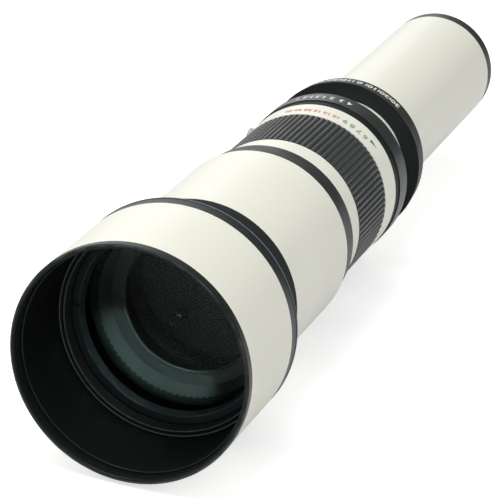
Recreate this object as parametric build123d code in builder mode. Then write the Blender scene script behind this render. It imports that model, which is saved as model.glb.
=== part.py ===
from build123d import *
from math import atan2, cos, degrees, pi, radians, sin, sqrt
import os

# A long telephoto zoom lens, in millimetres. The optical axis is the Y axis. The front of
# the lens faces -Y and the camera mount's seat is the plane Y = 0, its centre the origin.
# +Z is up, so the tripod foot hangs below, and the clamp knob stands out at -X.

# Clearances and cuts
running_clearance = 0.1       # radial, where one piece turns or slides on another
air_gap = 0.3                 # between moving pieces that never touch
seat_clearance = 0.02         # between pieces that are screwed or cemented together
glass_clearance = 0.1         # round the edge of a glass element in its cell
cut_overrun = 2.0             # how far a cut runs past the surface it opens
edge_chamfer = 0.5
fine_chamfer = 0.3

# Directions round the axis, in degrees from +X towards +Z
downwards = 270.0
knob_side = 180.0

# Lengths along the axis at rest, from the camera end to the front rim
rear_rim_length = 9.4
tube_show_length = 151.3
collar_length = 10.7
zoom_gap = 22.0
index_ring_length = 12.0
index_band_length = 5.4
rear_land_length = 15.4
grip_length = 40.9
front_land_length = 16.3
waist_length = 14.3
barrel_show_length = 72.7
hood_cone_length = 24.0
hood_band_length = 7.2
hood_tube_length = 49.2
hood_rim_length = 4.2

# How far the pieces travel: the zoom forward and back from rest, and the focus ring
# with the cell that it drives
zoom_forward = 90.0
zoom_back = 19.0
focus_angle = 120.0
focus_travel = 15.0

# Hood
hood_rim_wall = 2.1
hood_rim_round = 0.8
hood_wall = 2.2
hood_ridge_drop = 0.3
hood_end_lip = 0.7
hood_guide_length = 4.0
hood_shoulder_setback = 1.8
lining_thickness = 0.8
lining_setback = 2.4
lining_end_setback = 0.4

# Front barrel, its core tube and the rings on it
barrel_space = 5.7            # from the cam tube out to the barrel's skin
barrel_wall = 2.0
waist_step = 0.8              # from the barrel down to the waist ring
waist_taper = 1.1
waist_spigot_length = 7.0
core_wall = 1.4
index_step = 0.5              # from the index ring's band up to its ring
index_round = 1.2
index_plate_thickness = 2.6
index_screw_radius = 1.25
index_screw_sink = 0.9        # from the band's surface down to the screw's top
index_screw_socket_radius = 0.6
index_screw_socket_depth = 1.1
index_screw_angles = (225.0, 270.0, 315.0)

# Front cell with its filter thread and two air-spaced elements
cell_depth = 44.0
cell_swell = 3.3              # from the barrel's radius out to the filter thread's
cell_wall = 2.7
filter_thread_length = 6.0
retainer_thread_step = 1.1
retainer_length = 4.1
retainer_recess = 0.2
retainer_cover = 2.8          # how far the retaining ring covers the glass
retainer_flare = 1.0
retainer_notch_width = 3.0
retainer_notch_depth = 1.2
glass_edge_gap = 1.4          # from the retaining ring's thread down to the glass
crown_setback = 5.0
crown_edge_length = 3.0
crown_front_curve = 230.0
crown_rear_curve = 260.0
flint_gap = 1.5
flint_front_curve = 255.0
flint_edge_length = 8.5
spacer_wall = 1.5
cell_seat_width = 3.0
cell_throat_setback = 2.0
cell_throat_length = 2.3
cell_spigot_length = 8.3

# Focus ring, with its grip and cam tube
cam_wall = 1.2
cam_front_gap = 0.6
cam_rear_setback = 12.0
grip_seat_wall = 0.6
front_land_step = 0.8         # from the grip's seat up to each land, and to the grip's ribs
rear_land_step = 0.9
rear_land_rise = 0.5
grip_thickness = 1.0
grip_rib_count = 80
grip_groove_radius = 0.75
grip_groove_depth = 0.6
track_count = 3
track_steps = 4

# Focus cell inside the core tube
focus_cell_length = 22.0
focus_cell_gap = 21.0         # from the cell to the rear tube's front end, at rest
focus_front_gap = 1.0         # from the cell to the core tube's front end, at full travel
focus_cell_wall = 3.7
focus_edge_length = 9.0
focus_front_curve = 180.0
focus_centre_setback = 0.6
focus_retainer_length = 3.0
focus_retainer_wall = 2.4
focus_seat_width = 2.0
focus_bore_step = 0.6
follower_radius = 1.8
follower_inset = 3.0
follower_start_angle = 90.0

# Rear tube and what is in it
tube_radius = 30.8
tube_wall = 2.0
slide_space = 5.0             # from the tube out to the core tube that slides on it
guide_length = 12.0
guide_setback = 0.5
bush_length = 14.0
key_width = 4.0
key_margin = 2.0              # from the key to each end of the bush
key_cover = 0.6
key_groove_depth = 0.9
key_bite = 0.6
baffle_thickness = 1.6
baffle_lip = 0.4
front_baffle_setback = 60.0
rear_baffle_setback = 189.0
front_baffle_width = 3.8
rear_baffle_width = 7.8
rear_cell_length = 40.0
rear_cell_setback = 14.0
rear_cell_wall = 9.8          # from the rear glass out to the tube's bore
rear_seat_width = 1.5
rear_glass_edge_length = 5.0
rear_glass_curve = 60.0
rear_glass_inset = 6.0
rear_retainer_length = 3.0

# Rear rim and camera thread
rear_rim_step = 0.3           # from the tube down to the rim
rear_rim_chamfer = 1.2
rear_rim_spigot_length = 7.0
mount_inset = 9.8             # from the rear tube in to the camera thread
mount_thread_length = 5.5
mount_flange_width = 3.0
mount_flange_thickness = 2.0
mount_wall = 2.2

# Tripod collar, its foot and the clamp
collar_height = 9.5           # from the tube out to the collar's front edge
collar_taper = 1.0
collar_edge_round = 0.8
pad_groove_depth = 0.4
boss_margin = 0.35            # from the boss to each side of the collar
boss_height = 4.0
clamp_screw_radius = 2.5
clamp_screw_gap = 0.7         # from the pad to the screw's inner end, at rest
clamp_screw_hold = 5.0        # how far the screw goes into the knob
knob_radius = 5.2
knob_length = 7.7
knob_neck_radius = 4.2
knob_neck_length = 1.4
knob_edge_round = 1.0
knob_flute_count = 16
knob_flute_radius = 0.8
knob_flute_depth = 0.35
pad_radius = 3.0
pad_thickness = 2.1
pad_lift = 0.4                # from the tube's groove to the pad, at rest
foot_width = 20.0
foot_gap = 7.0                # from the index ring down to the foot's plate
foot_length = 48.0
foot_thickness = 7.0
foot_stem_margin = 0.3
foot_saddle_depth = 3.0
foot_corner_radius = 4.0
foot_side_wall = 1.75         # beside the screws' heads
foot_screw_radius = 1.5
foot_screw_head_radius = 2.75
foot_screw_head_length = 3.0
foot_screw_hold = 4.0         # how far the screws go into the collar
foot_screw_socket_radius = 1.25
foot_screw_socket_depth = 1.6
socket_radius = 3.175
socket_floor = 1.0            # of the foot's plate above the socket
socket_bush_radius = 5.5
socket_setback = 16.0         # from the foot's front end to the socket

# Stations along the axis
rear_rim_y = -rear_rim_length
collar_rear_y = rear_rim_y - tube_show_length
collar_front_y = collar_rear_y - collar_length
index_rear_y = collar_front_y - zoom_gap
index_band_rear_y = index_rear_y - index_ring_length
land_rear_y = index_band_rear_y - index_band_length
grip_rear_y = land_rear_y - rear_land_length
grip_front_y = grip_rear_y - grip_length
waist_rear_y = grip_front_y - front_land_length
barrel_rear_y = waist_rear_y - waist_length
hood_rear_y = barrel_rear_y - barrel_show_length
hood_cone_y = hood_rear_y - hood_cone_length
hood_tube_rear_y = hood_cone_y - hood_band_length
hood_tube_front_y = hood_tube_rear_y - hood_tube_length
front_y = hood_tube_front_y - hood_rim_length

# Radii that follow, from the rear tube outwards
tube_bore = tube_radius - tube_wall
insert_radius = tube_bore - seat_clearance
core_bore_radius = tube_radius + slide_space
core_radius = core_bore_radius + core_wall
cam_bore_radius = core_radius + running_clearance
cam_radius = cam_bore_radius + cam_wall
grip_seat_radius = cam_radius + grip_seat_wall
grip_radius = grip_seat_radius + grip_thickness
front_land_radius = grip_seat_radius + front_land_step
rear_land_front_radius = grip_seat_radius + rear_land_step
rear_land_rear_radius = rear_land_front_radius + rear_land_rise
index_band_radius = rear_land_rear_radius
index_radius = index_band_radius + index_step
barrel_radius = cam_radius + barrel_space
barrel_bore = barrel_radius - barrel_wall
waist_radius = barrel_radius - waist_step
filter_thread_radius = barrel_radius + cell_swell
retainer_thread_radius = filter_thread_radius - retainer_thread_step
glass_radius = retainer_thread_radius - glass_edge_gap
retainer_aperture_radius = glass_radius - retainer_cover
cell_aperture_radius = glass_radius - cell_seat_width
cell_radius = filter_thread_radius + cell_wall
hood_bore = cell_radius + air_gap
hood_tube_bore = hood_bore + lining_thickness
hood_radius = hood_tube_bore + hood_wall

# Hood and front cell places that follow
hood_guide_radius = barrel_radius + running_clearance
hood_shoulder_y = hood_cone_y + hood_shoulder_setback
hood_guide_y = hood_rear_y - hood_guide_length
hood_slope = (hood_bore - hood_guide_radius) / (hood_guide_y - hood_shoulder_y)
cell_front_y = front_y + cell_depth
cell_shoulder_y = hood_shoulder_y - air_gap
barrel_front_y = cell_shoulder_y + (cell_radius - barrel_radius) / hood_slope
retainer_front_y = cell_front_y + filter_thread_length + retainer_recess
retainer_rear_y = retainer_front_y + retainer_length
glass_bore_y = retainer_rear_y + retainer_recess
crown_front_y = cell_front_y + filter_thread_length + crown_setback
crown_rear_y = crown_front_y + crown_edge_length
flint_front_y = crown_rear_y + flint_gap
flint_rear_y = flint_front_y + flint_edge_length
core_front_y = barrel_front_y + cell_throat_length
core_rear_y = index_rear_y - index_plate_thickness
cell_rear_y = barrel_front_y + cell_spigot_length

# Focus sizes that follow
cam_front_y = cell_rear_y + cam_front_gap
cam_rear_y = land_rear_y - cam_rear_setback
focus_front_y = core_front_y + focus_travel + focus_front_gap
focus_rear_y = focus_front_y + focus_cell_length
focus_cell_radius = core_bore_radius - running_clearance
focus_glass_radius = focus_cell_radius - focus_cell_wall
focus_aperture_radius = focus_glass_radius - focus_seat_width
follower_y = (focus_front_y + focus_rear_y) / 2
follower_angles = [follower_start_angle + 360 * number / track_count for number in range(track_count)]
sleeve_front_y = waist_rear_y + air_gap
sleeve_rear_y = land_rear_y - air_gap

# Rear tube sizes that follow
tube_front_y = focus_rear_y + focus_cell_gap
bush_bore = tube_radius + running_clearance
bush_radius = core_bore_radius - seat_clearance
bush_front_y = core_rear_y - bush_length
key_length = bush_length - 2 * key_margin
key_height = slide_space - key_cover
key_groove_floor = tube_radius - key_groove_depth
front_baffle_aperture = insert_radius - front_baffle_width
rear_baffle_aperture = insert_radius - rear_baffle_width
rear_glass_radius = insert_radius - rear_cell_wall
rear_cell_aperture_radius = rear_glass_radius - rear_seat_width
rear_rim_radius = tube_radius - rear_rim_step
mount_thread_radius = tube_radius - mount_inset
mount_flange_radius = mount_thread_radius + mount_flange_width
mount_throat_radius = mount_thread_radius - mount_wall

# Collar sizes that follow
collar_middle_y = (collar_front_y + collar_rear_y) / 2
collar_bore = tube_radius + running_clearance
collar_front_radius = tube_radius + collar_height
collar_rear_radius = collar_front_radius - collar_taper
boss_radius = collar_length / 2 - boss_margin
boss_reach = collar_front_radius + boss_height
pad_face = tube_radius - pad_groove_depth + pad_lift
clamp_screw_tip = pad_face + pad_thickness + clamp_screw_gap
flat_drop = collar_rear_radius - foot_saddle_depth
foot_drop = index_radius + foot_gap + foot_thickness
foot_stem_length = collar_length - 2 * foot_stem_margin
foot_screw_spacing = foot_width - 2 * (foot_screw_head_radius + foot_side_wall)
socket_depth = foot_thickness - socket_floor


def sag(curve_radius, height):
    """How far a spherical face of this radius falls back at a height off the axis."""
    return curve_radius - sqrt(curve_radius**2 - height**2)


def radial_plane(angle, reach, place):
    """A plane facing outwards at an angle round the axis, its own y towards the front."""
    outward = Vector(cos(radians(angle)), 0, sin(radians(angle)))
    around = Vector(-sin(radians(angle)), 0, cos(radians(angle)))
    return Plane(origin=outward * reach + Vector(0, place, 0), x_dir=around, z_dir=outward)


def turn(*outline, mode=Mode.ADD):
    """Turns an outline of (radius, place along the axis) points about the optical axis."""
    with BuildSketch(Plane.XY) as profile:
        with BuildLine():
            Polyline(*outline, close=True)
        make_face()
    revolve(profiles=profile.sketch, axis=Axis.Y, mode=mode)


def turn_glass(radius, front_edge_y, rear_edge_y, front_bulge, rear_bulge):
    """Turns a glass element. A bulge is how far a face's middle stands out past its edge,
    and each face's arc passes through a point at half the height."""
    front_mid = front_edge_y - front_bulge * (1 - half_height_share(radius, front_bulge))
    rear_mid = rear_edge_y + rear_bulge * (1 - half_height_share(radius, rear_bulge))
    with BuildSketch(Plane.XY) as profile:
        with BuildLine():
            face_line(radius, front_edge_y, front_mid, front_edge_y - front_bulge)
            Line((radius, front_edge_y), (radius, rear_edge_y))
            face_line(radius, rear_edge_y, rear_mid, rear_edge_y + rear_bulge)
            Line((0, rear_edge_y + rear_bulge), (0, front_edge_y - front_bulge))
        make_face()
    revolve(profiles=profile.sketch, axis=Axis.Y)


def half_height_share(radius, bulge):
    """The share of a face's bulge that is already lost at half its height."""
    if bulge == 0:
        return 0
    curve_radius = (radius**2 + bulge**2) / (2 * abs(bulge))
    return sag(curve_radius, radius / 2) / abs(bulge)


def face_line(radius, edge_y, mid_y, middle_y):
    """One face of a glass element, from the axis to the edge: flat or an arc."""
    if edge_y == middle_y:
        Line((0, middle_y), (radius, edge_y))
    else:
        ThreePointArc((0, middle_y), (radius / 2, mid_y), (radius, edge_y))


# Hood: front rim, tube, rear band with its cone, and the flocked lining
with BuildPart() as hood_rim:
    turn((hood_radius - hood_rim_wall, front_y), (hood_radius, front_y),
         (hood_radius, hood_tube_front_y), (hood_radius - hood_rim_wall, hood_tube_front_y))
    fillet(hood_rim.edges().group_by(Axis.Y)[0], radius=hood_rim_round)

with BuildPart() as hood_tube:
    turn((hood_tube_bore, hood_tube_front_y), (hood_radius, hood_tube_front_y),
         (hood_radius, hood_tube_rear_y), (hood_tube_bore, hood_tube_rear_y))

with BuildPart() as hood_band:
    turn((hood_tube_bore, hood_tube_rear_y), (hood_radius, hood_tube_rear_y),
         (hood_radius - hood_ridge_drop, hood_cone_y),
         (hood_guide_radius + hood_end_lip, hood_rear_y), (hood_guide_radius, hood_rear_y),
         (hood_guide_radius, hood_guide_y), (hood_bore, hood_shoulder_y),
         (hood_bore, hood_cone_y + lining_end_setback),
         (hood_tube_bore, hood_cone_y + lining_end_setback))

with BuildPart() as hood_lining:
    turn((hood_bore, hood_tube_front_y + lining_setback),
         (hood_tube_bore - seat_clearance, hood_tube_front_y + lining_setback),
         (hood_tube_bore - seat_clearance, hood_cone_y + lining_end_setback),
         (hood_bore, hood_cone_y + lining_end_setback))

# Front cell: filter thread, glass seat, outer cone under the hood and a spigot for the tubes
with BuildPart() as front_cell:
    turn((filter_thread_radius + edge_chamfer, cell_front_y),
         (cell_radius - edge_chamfer, cell_front_y),
         (cell_radius, cell_front_y + edge_chamfer), (cell_radius, cell_shoulder_y),
         (barrel_radius, barrel_front_y), (barrel_bore - seat_clearance, barrel_front_y),
         (barrel_bore - seat_clearance, cell_rear_y),
         (core_radius + seat_clearance, cell_rear_y),
         (core_radius + seat_clearance, core_front_y), (core_bore_radius, core_front_y),
         (core_bore_radius, core_front_y - cell_throat_setback),
         (cell_aperture_radius, flint_rear_y),
         (glass_radius + glass_clearance, flint_rear_y),
         (glass_radius + glass_clearance, glass_bore_y),
         (retainer_thread_radius, glass_bore_y),
         (retainer_thread_radius, cell_front_y + filter_thread_length),
         (filter_thread_radius, cell_front_y + filter_thread_length),
         (filter_thread_radius, cell_front_y + edge_chamfer))

with BuildPart() as front_retaining_ring:
    turn((retainer_aperture_radius + retainer_flare, retainer_front_y),
         (retainer_thread_radius - seat_clearance, retainer_front_y),
         (retainer_thread_radius - seat_clearance, retainer_rear_y),
         (retainer_aperture_radius, retainer_rear_y))
    with BuildSketch(Plane.XZ.offset(-retainer_front_y)):
        Rectangle(2 * (retainer_thread_radius + cut_overrun), retainer_notch_width)
    extrude(amount=-retainer_notch_depth, mode=Mode.SUBTRACT)

with BuildPart() as front_element:
    turn_glass(glass_radius, crown_front_y, crown_rear_y,
               sag(crown_front_curve, glass_radius), sag(crown_rear_curve, glass_radius))

spacer_bore = glass_radius - spacer_wall
spacer_drop = sag(crown_rear_curve, glass_radius) - sag(crown_rear_curve, spacer_bore)
with BuildPart() as element_spacer:
    turn((spacer_bore, crown_rear_y + spacer_drop + seat_clearance),
         (glass_radius, crown_rear_y + spacer_drop + seat_clearance),
         (glass_radius, flint_front_y - seat_clearance),
         (spacer_bore, flint_front_y - seat_clearance))

with BuildPart() as second_element:
    turn_glass(glass_radius, flint_front_y, flint_rear_y, -sag(flint_front_curve, glass_radius), 0)

# Front barrel's outer skin and the waist ring that closes its rear end
with BuildPart() as front_barrel:
    turn((barrel_bore, barrel_front_y), (barrel_radius, barrel_front_y),
         (barrel_radius, barrel_rear_y - fine_chamfer),
         (barrel_radius - fine_chamfer, barrel_rear_y), (barrel_bore, barrel_rear_y))

waist_bore = cam_radius + air_gap
with BuildPart() as waist_ring:
    turn((waist_bore, barrel_rear_y - waist_spigot_length),
         (barrel_bore - seat_clearance, barrel_rear_y - waist_spigot_length),
         (barrel_bore - seat_clearance, barrel_rear_y), (waist_radius, barrel_rear_y),
         (waist_radius - waist_taper, waist_rear_y - fine_chamfer),
         (waist_radius - waist_taper - fine_chamfer, waist_rear_y), (waist_bore, waist_rear_y))

# Core tube: it joins the front cell to the index ring and guides the focus cell, whose
# followers run in its three straight slots
core_slot_width = 2 * (follower_radius + air_gap)
core_slot_middle_y = follower_y - focus_travel / 2
with BuildPart() as core_barrel:
    turn((core_bore_radius, core_front_y), (core_radius, core_front_y),
         (core_radius, core_rear_y), (core_bore_radius, core_rear_y))
    for angle in follower_angles:
        with BuildSketch(radial_plane(angle, core_bore_radius - cut_overrun, core_slot_middle_y)):
            SlotCenterToCenter(focus_travel, core_slot_width, rotation=90)
        extrude(amount=core_wall + 2 * cut_overrun, mode=Mode.SUBTRACT)

# Index ring: a band and a rounded ring behind the focus ring, with the end plate
with BuildPart() as index_ring:
    turn((core_radius + seat_clearance, land_rear_y),
         (index_band_radius, land_rear_y), (index_band_radius, index_band_rear_y),
         (index_radius, index_band_rear_y), (index_radius, index_rear_y),
         (bush_bore + air_gap, index_rear_y), (bush_bore + air_gap, core_rear_y),
         (core_radius + seat_clearance, core_rear_y))
    fillet(index_ring.edges().group_by(Axis.Y)[-1].sort_by(SortBy.RADIUS)[-1], radius=index_round)
    for angle in index_screw_angles:
        with BuildSketch(radial_plane(angle, core_radius, (land_rear_y + index_band_rear_y) / 2)):
            Circle(index_screw_radius + seat_clearance)
        extrude(amount=index_radius - core_radius + cut_overrun, mode=Mode.SUBTRACT)

with BuildPart() as index_screws:
    for angle in index_screw_angles:
        screw_y = (land_rear_y + index_band_rear_y) / 2
        with BuildSketch(radial_plane(angle, core_radius + seat_clearance, screw_y)):
            Circle(index_screw_radius)
        extrude(amount=index_band_radius - core_radius - index_screw_sink)
        screw_top = index_band_radius + seat_clearance - index_screw_sink
        with BuildSketch(radial_plane(angle, screw_top, screw_y)):
            RegularPolygon(index_screw_socket_radius, 6)
        extrude(amount=-index_screw_socket_depth, mode=Mode.SUBTRACT)

# Sliding bush in the core tube's rear end, and the key that keeps the barrel from turning
key_slot_width = key_width + 2 * seat_clearance
key_middle_y = (bush_front_y + core_rear_y) / 2
key_base = tube_radius - key_bite
with BuildPart() as rear_bush:
    turn((bush_bore, bush_front_y), (bush_radius, bush_front_y),
         (bush_radius, core_rear_y), (bush_bore, core_rear_y))
    with BuildSketch(radial_plane(downwards, key_base - cut_overrun, key_middle_y)):
        Rectangle(key_slot_width, key_length + 2 * seat_clearance)
    extrude(amount=key_height + cut_overrun, mode=Mode.SUBTRACT)

with BuildPart() as zoom_key:
    with BuildSketch(radial_plane(downwards, key_base, key_middle_y)):
        Rectangle(key_width, key_length)
    extrude(amount=key_height - seat_clearance)

# Focus ring: sleeve with its two painted lands, ribbed grip and cam tube
with BuildPart() as focus_sleeve:
    turn((cam_radius + seat_clearance, sleeve_front_y),
         (front_land_radius - fine_chamfer, sleeve_front_y),
         (front_land_radius, sleeve_front_y + fine_chamfer),
         (front_land_radius, grip_front_y), (grip_seat_radius, grip_front_y),
         (grip_seat_radius, grip_rear_y), (rear_land_front_radius, grip_rear_y),
         (rear_land_rear_radius, sleeve_rear_y - fine_chamfer),
         (rear_land_rear_radius - fine_chamfer, sleeve_rear_y),
         (cam_radius + seat_clearance, sleeve_rear_y))

groove_centre_radius = grip_radius + grip_groove_radius - grip_groove_depth
with BuildPart() as focus_grip:
    with BuildSketch(Plane.XZ.offset(-grip_front_y - seat_clearance)):
        Circle(grip_radius)
        with PolarLocations(groove_centre_radius, grip_rib_count):
            Circle(grip_groove_radius, mode=Mode.SUBTRACT)
        Circle(grip_seat_radius + seat_clearance, mode=Mode.SUBTRACT)
    extrude(amount=-(grip_length - 2 * seat_clearance))

track_radius = (cam_bore_radius + cam_radius) / 2
step_angle = focus_angle / track_steps
step_reach = 2 * track_radius * sin(radians(step_angle / 2))
step_advance = focus_travel / track_steps
step_length = sqrt(step_reach**2 + step_advance**2)
step_tilt = degrees(atan2(-step_advance, step_reach))
with BuildPart() as focus_cam_tube:
    turn((cam_bore_radius, cam_front_y), (cam_radius, cam_front_y),
         (cam_radius, cam_rear_y), (cam_bore_radius, cam_rear_y))
    for angle in follower_angles:
        for step in range(track_steps):
            step_middle = angle - (step + 0.5) * step_angle
            step_y = follower_y - (step + 0.5) * step_advance
            with BuildSketch(radial_plane(step_middle, cam_bore_radius - cut_overrun, step_y)):
                SlotCenterToCenter(step_length, core_slot_width, rotation=step_tilt)
            extrude(amount=cam_wall + 2 * cut_overrun, mode=Mode.SUBTRACT)

# Focus cell: it slides in the core tube, carries one glass and is driven by three followers
focus_seat_y = focus_front_y + focus_retainer_length + focus_edge_length
with BuildPart() as focus_cell:
    turn((focus_glass_radius + focus_bore_step, focus_front_y), (focus_cell_radius, focus_front_y),
         (focus_cell_radius, focus_rear_y), (focus_aperture_radius + focus_bore_step, focus_rear_y),
         (focus_aperture_radius, focus_seat_y), (focus_glass_radius + glass_clearance, focus_seat_y),
         (focus_glass_radius + glass_clearance, focus_front_y + focus_retainer_length),
         (focus_glass_radius + focus_bore_step, focus_front_y + focus_retainer_length))
    for angle in follower_angles:
        with BuildSketch(radial_plane(angle, focus_cell_radius - follower_inset, follower_y)):
            Circle(follower_radius + seat_clearance)
        extrude(amount=follower_inset + cut_overrun, mode=Mode.SUBTRACT)

with BuildPart() as focus_element:
    turn_glass(focus_glass_radius, focus_front_y + focus_retainer_length, focus_seat_y,
               -sag(focus_front_curve, focus_glass_radius), -focus_centre_setback)

retainer_outer = focus_glass_radius + focus_bore_step - seat_clearance
with BuildPart() as focus_retaining_ring:
    turn((retainer_outer - focus_retainer_wall, focus_front_y + seat_clearance),
         (retainer_outer, focus_front_y + seat_clearance),
         (retainer_outer, focus_front_y + focus_retainer_length),
         (retainer_outer - focus_retainer_wall, focus_front_y + focus_retainer_length))

with BuildPart() as focus_followers:
    for angle in follower_angles:
        with BuildSketch(radial_plane(angle, focus_cell_radius - follower_inset, follower_y)):
            Circle(follower_radius)
        extrude(amount=cam_radius - seat_clearance - focus_cell_radius + follower_inset)

# Rear tube, with the key's groove below, as long as the zoom's travel, and a shallow
# groove under the collar's clamp pad
groove_rear_y = key_middle_y + key_length / 2 + zoom_back + cut_overrun
groove_front_y = key_middle_y - key_length / 2 - zoom_forward - cut_overrun
with BuildPart() as rear_tube:
    turn((tube_bore, tube_front_y), (tube_radius, tube_front_y),
         (tube_radius, rear_rim_y), (tube_bore, rear_rim_y))
    with BuildSketch(radial_plane(downwards, key_groove_floor, (groove_front_y + groove_rear_y) / 2)):
        Rectangle(key_width + 2 * air_gap, groove_rear_y - groove_front_y)
    extrude(amount=key_groove_depth + cut_overrun, mode=Mode.SUBTRACT)
    turn((tube_radius - pad_groove_depth, collar_middle_y - pad_radius - air_gap),
         (tube_radius + cut_overrun, collar_middle_y - pad_radius - air_gap),
         (tube_radius + cut_overrun, collar_middle_y + pad_radius + air_gap),
         (tube_radius - pad_groove_depth, collar_middle_y + pad_radius + air_gap),
         mode=Mode.SUBTRACT)

with BuildPart() as tube_guide_ring:
    guide_front_y = tube_front_y + guide_setback
    guide_radius = core_bore_radius - running_clearance
    turn((tube_radius + seat_clearance, guide_front_y), (guide_radius, guide_front_y),
         (guide_radius, guide_front_y + guide_length),
         (tube_radius + seat_clearance, guide_front_y + guide_length))

with BuildPart() as front_baffle:
    baffle_y = tube_front_y + front_baffle_setback
    turn((front_baffle_aperture, baffle_y + baffle_thickness / 2 - baffle_lip / 2),
         (insert_radius, baffle_y), (insert_radius, baffle_y + baffle_thickness),
         (front_baffle_aperture, baffle_y + baffle_thickness / 2 + baffle_lip / 2))

with BuildPart() as rear_baffle:
    baffle_y = tube_front_y + rear_baffle_setback
    turn((rear_baffle_aperture, baffle_y + baffle_thickness / 2 - baffle_lip / 2),
         (insert_radius, baffle_y), (insert_radius, baffle_y + baffle_thickness),
         (rear_baffle_aperture, baffle_y + baffle_thickness / 2 + baffle_lip / 2))

# Rear group: a cell with two glass elements, each behind a retaining ring
rear_cell_rear_y = rear_rim_y - rear_cell_setback
rear_cell_front_y = rear_cell_rear_y - rear_cell_length
rear_bore = rear_glass_radius + glass_clearance
rear_front_seat_y = rear_cell_front_y + rear_glass_inset + rear_glass_edge_length
rear_back_seat_y = rear_cell_rear_y - rear_glass_inset - rear_glass_edge_length
with BuildPart() as rear_group_cell:
    turn((rear_bore, rear_cell_front_y), (insert_radius, rear_cell_front_y),
         (insert_radius, rear_cell_rear_y), (rear_bore, rear_cell_rear_y),
         (rear_bore, rear_back_seat_y), (rear_cell_aperture_radius, rear_back_seat_y),
         (rear_cell_aperture_radius, rear_front_seat_y), (rear_bore, rear_front_seat_y))

rear_bulge = sag(rear_glass_curve, rear_glass_radius)
with BuildPart() as rear_element_front:
    turn_glass(rear_glass_radius, rear_front_seat_y - rear_glass_edge_length, rear_front_seat_y,
               rear_bulge, 0)

with BuildPart() as rear_element_back:
    turn_glass(rear_glass_radius, rear_back_seat_y, rear_back_seat_y + rear_glass_edge_length,
               0, rear_bulge)

with BuildPart() as rear_retaining_rings:
    ring_drop = rear_bulge - sag(rear_glass_curve, rear_cell_aperture_radius)
    front_ring_y = rear_front_seat_y - rear_glass_edge_length - ring_drop - seat_clearance
    turn((rear_cell_aperture_radius, front_ring_y - rear_retainer_length),
         (rear_bore - seat_clearance, front_ring_y - rear_retainer_length),
         (rear_bore - seat_clearance, front_ring_y), (rear_cell_aperture_radius, front_ring_y))
    back_ring_y = rear_back_seat_y + rear_glass_edge_length + ring_drop + seat_clearance
    turn((rear_cell_aperture_radius, back_ring_y), (rear_bore - seat_clearance, back_ring_y),
         (rear_bore - seat_clearance, back_ring_y + rear_retainer_length),
         (rear_cell_aperture_radius, back_ring_y + rear_retainer_length))

# Rear rim and the camera thread screwed into it
with BuildPart() as rear_rim:
    turn((mount_throat_radius, -mount_flange_thickness - seat_clearance),
         (mount_flange_radius + seat_clearance, -mount_flange_thickness - seat_clearance),
         (mount_flange_radius + seat_clearance, 0), (rear_rim_radius - rear_rim_chamfer, 0),
         (rear_rim_radius, -rear_rim_chamfer), (rear_rim_radius, rear_rim_y),
         (insert_radius, rear_rim_y), (insert_radius, rear_rim_y - rear_rim_spigot_length),
         (mount_throat_radius + fine_chamfer, rear_rim_y - rear_rim_spigot_length))

with BuildPart() as camera_thread:
    turn((mount_throat_radius, -mount_flange_thickness), (mount_flange_radius, -mount_flange_thickness),
         (mount_flange_radius, 0), (mount_thread_radius, 0),
         (mount_thread_radius, mount_thread_length - edge_chamfer),
         (mount_thread_radius - edge_chamfer, mount_thread_length),
         (mount_throat_radius, mount_thread_length))

# Tripod collar: a ring on the rear tube with a boss for the clamp and a flat for the foot
boss_plane = radial_plane(knob_side, tube_radius + collar_length / 2, collar_middle_y)
with BuildPart() as collar_ring:
    turn((collar_bore, collar_front_y), (collar_front_radius, collar_front_y),
         (collar_rear_radius, collar_rear_y), (collar_bore, collar_rear_y))
    fillet(collar_ring.edges().group_by(Axis.Y)[-1].sort_by(SortBy.RADIUS)[-1],
           radius=collar_edge_round)
    with BuildSketch(boss_plane):
        Circle(boss_radius)
    extrude(amount=boss_reach - tube_radius - collar_length / 2)
    with BuildSketch(radial_plane(knob_side, 0, collar_middle_y)):
        Circle(clamp_screw_radius + running_clearance)
    extrude(amount=boss_reach + cut_overrun, mode=Mode.SUBTRACT)
    with BuildSketch(radial_plane(knob_side, 0, collar_middle_y)):
        Circle(pad_radius + running_clearance)
    extrude(amount=clamp_screw_tip, mode=Mode.SUBTRACT)
    with BuildSketch(radial_plane(downwards, flat_drop, collar_middle_y)):
        Rectangle(foot_width + 2 * air_gap, collar_length + 2 * cut_overrun)
    extrude(amount=collar_front_radius - flat_drop + cut_overrun, mode=Mode.SUBTRACT)
    with BuildSketch(radial_plane(downwards, flat_drop, collar_middle_y)):
        with GridLocations(foot_screw_spacing, foot_screw_spacing, 2, 1):
            Circle(foot_screw_radius + seat_clearance)
    extrude(amount=-foot_screw_hold, mode=Mode.SUBTRACT)

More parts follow.
